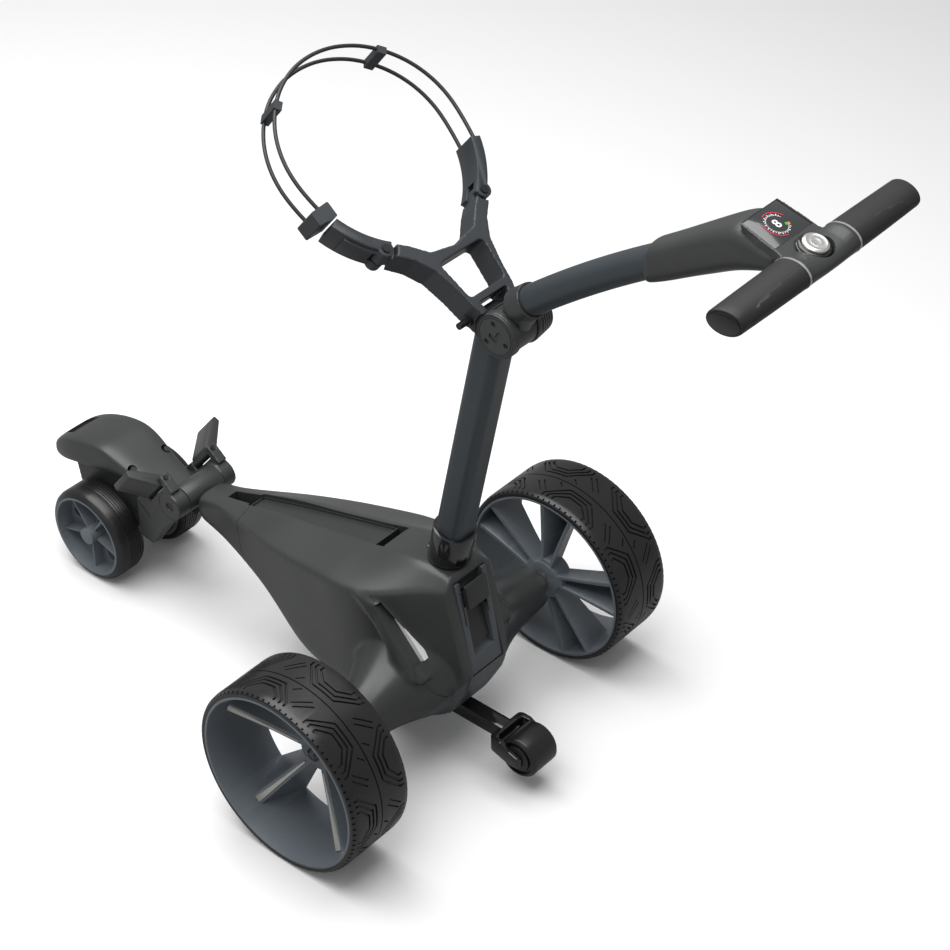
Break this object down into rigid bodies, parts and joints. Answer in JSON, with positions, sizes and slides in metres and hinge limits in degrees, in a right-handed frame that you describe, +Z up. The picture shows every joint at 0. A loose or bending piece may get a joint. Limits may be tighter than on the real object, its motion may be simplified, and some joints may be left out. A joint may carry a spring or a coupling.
{
  "type": "electric golf trolley",
  "caption": "Folding electric golf trolley with driven rear wheels, twin front wheels, battery bay, bag ring and a handle with display.",
  "frame": {"origin": "centre of the trolley's plan outline, on the ground under the wheels", "axes": "+X to the user's right, +Y forwards towards the front wheels, +Z up"},
  "size_m": [0.6, 1.194, 0.944],
  "materials": {
    "shell_black": "satin moulded",
    "tray_grey": "satin moulded",
    "battery_black": "fine texture",
    "tyre_black": "satin rubber with tread",
    "rim_grey": "satin moulded",
    "tube_paint": "satin paint",
    "gloss_black": "gloss",
    "yoke_grey": "fine grain",
    "hoop_cord": "satin sheath",
    "grip_rubber": "soft touch",
    "steel": "turned",
    "satin_silver": "satin",
    "display_glass": "gloss",
    "board_green": "matt",
    "contact_brass": "plated"
  },
  "bodies": {
    "chassis": {"main_shell": "shell_black", "lower_tray": "tray_grey", "rear_frame": "tray_grey", "bay_liner": "battery_black", "battery_contacts": "contact_brass", "gearmotors": "steel", "wheel_bearings": "steel", "control_board": "board_green", "front_knuckle": "shell_black", "stem_seat": "shell_black", "stem_hinge_pin": "steel", "shell_screws": "steel", "antitip_socket": "shell_black"},
    "battery": {"battery_pack": "battery_black"},
    "catch": {"rear_catch": "shell_black"},
    "left_wheel": {"left_tyre": "tyre_black", "left_rim": "rim_grey", "left_axle": "steel"},
    "left_button": {"left_wheel_button": "gloss_black"},
    "right_wheel": {"right_tyre": "tyre_black", "right_rim": "rim_grey", "right_axle": "steel"},
    "right_button": {"right_wheel_button": "gloss_black"},
    "front_carriage": {"front_keel": "shell_black", "bag_scoop": "shell_black", "front_axle": "steel", "fold_pin": "steel", "carriage_fasteners": "steel"},
    "left_paddle": {"left_paddle": "shell_black"},
    "right_paddle": {"right_paddle": "shell_black"},
    "front_left_wheel": {"front_left_tyre": "tyre_black", "front_left_rim": "rim_grey"},
    "front_right_wheel": {"front_right_tyre": "tyre_black", "front_right_rim": "rim_grey"},
    "antitip": {"antitip_arm": "shell_black"},
    "antitip_wheel": {"antitip_wheel": "tyre_black"},
    "stem": {"stem_tube": "tube_paint", "stem_collar": "gloss_black", "stem_head": "shell_black", "hub_cap": "shell_black", "hinge_bolt": "steel", "yoke": "yoke_grey", "accessory_stud": "yoke_grey", "ring_pins": "steel"},
    "left_pad": {"left_pad": "yoke_grey"},
    "bag_ring": {"right_pad": "yoke_grey", "hoop_cord_front": "hoop_cord", "hoop_cord_rear": "hoop_cord", "hoop_clips": "yoke_grey"},
    "knob": {"hinge_knob": "shell_black"},
    "handle": {"handle_elbow": "shell_black", "upper_tube": "tube_paint", "display_housing": "shell_black", "display_glass": "display_glass", "handle_rod": "steel", "left_grip": "grip_rubber", "right_grip": "grip_rubber", "bar_bands": "satin_silver"},
    "speed_ring": {"speed_ring": "gloss_black"},
    "speed_cap": {"speed_cap": "satin_silver"}
  },
  "joints": [
    {"name": "stem_fold", "type": "hinge", "parent": "chassis", "child": "stem", "pos_m": [0, -0.076, 0.306], "axis": [-1, 0, 0], "range_deg": [0, 90]},
    {"name": "front_fold", "type": "hinge", "parent": "chassis", "child": "front_carriage", "pos_m": [0, 0.345, 0.178], "axis": [-1, 0, 0], "range_deg": [0, 90]},
    {"name": "handle_fold", "type": "hinge", "parent": "stem", "child": "handle", "pos_m": [0, -0.194, 0.674], "axis": [1, 0, 0], "range_deg": [-15, 105]},
    {"name": "hinge_knob_turn", "type": "hinge", "parent": "stem", "child": "knob", "pos_m": [0, -0.194, 0.674], "axis": [1, 0, 0], "range_deg": [0, 180]},
    {"name": "battery_lift", "type": "slide", "parent": "chassis", "child": "battery", "axis": [0, 0, -1], "range_m": [-0.12, 0]},
    {"name": "catch_pull", "type": "hinge", "parent": "chassis", "child": "catch", "pos_m": [0, -0.1365, 0.279], "axis": [-1, 0, 0], "range_deg": [0, 12], "stiffness_Nm_per_rad": 0.5},
    {"name": "left_wheel_spin", "type": "hinge", "parent": "chassis", "child": "left_wheel", "pos_m": [0, -0.086, 0.1275], "axis": [1, 0, 0], "continuous": true},
    {"name": "right_wheel_spin", "type": "hinge", "parent": "chassis", "child": "right_wheel", "pos_m": [0, -0.086, 0.1275], "axis": [1, 0, 0], "continuous": true},
    {"name": "left_button_press", "type": "slide", "parent": "left_wheel", "child": "left_button", "axis": [1, 0, 0], "range_m": [0, 0.003], "stiffness_N_per_m": 800},
    {"name": "right_button_press", "type": "slide", "parent": "right_wheel", "child": "right_button", "axis": [-1, 0, 0], "range_m": [0, 0.003], "stiffness_N_per_m": 800},
    {"name": "front_left_spin", "type": "hinge", "parent": "front_carriage", "child": "front_left_wheel", "pos_m": [0, 0.491, 0.0695], "axis": [1, 0, 0], "continuous": true},
    {"name": "front_right_spin", "type": "hinge", "parent": "front_carriage", "child": "front_right_wheel", "pos_m": [0, 0.491, 0.0695], "axis": [1, 0, 0], "continuous": true},
    {"name": "left_paddle_swing", "type": "hinge", "parent": "front_carriage", "child": "left_paddle", "pos_m": [-0.0435, 0.37703, 0.19085], "axis": [0, -0.6259, 0.7799], "range_deg": [-20, 20]},
    {"name": "right_paddle_swing", "type": "hinge", "parent": "front_carriage", "child": "right_paddle", "pos_m": [0.0435, 0.37703, 0.19085], "axis": [0, -0.6259, 0.7799], "range_deg": [-20, 20]},
    {"name": "antitip_slide", "type": "slide", "parent": "chassis", "child": "antitip", "axis": [0, -1, 0], "range_m": [0, 0.05]},
    {"name": "antitip_spin", "type": "hinge", "parent": "antitip", "child": "antitip_wheel", "pos_m": [0, -0.23, 0.056], "axis": [1, 0, 0], "continuous": true},
    {"name": "left_pad_swing", "type": "hinge", "parent": "stem", "child": "left_pad", "pos_m": [-0.082, -0.07395, 0.75596], "axis": [0, -0.6259, 0.7799], "range_deg": [0, 15]},
    {"name": "bag_ring_open", "type": "hinge", "parent": "stem", "child": "bag_ring", "pos_m": [0.082, -0.07395, 0.75596], "axis": [0, 0.6259, -0.7799], "range_deg": [0, 30]},
    {"name": "speed_turn", "type": "hinge", "parent": "handle", "child": "speed_ring", "pos_m": [0, -0.5688, 0.9252], "axis": [0, -0.2756, 0.9613], "continuous": true},
    {"name": "speed_press", "type": "slide", "parent": "speed_ring", "child": "speed_cap", "axis": [0, 0.2756, -0.9613], "range_m": [0, 0.0018], "stiffness_N_per_m": 600}
  ],
  "couplings": [
    {"joint": "front_fold", "follows": "stem_fold", "ratio": 1}
  ]
}
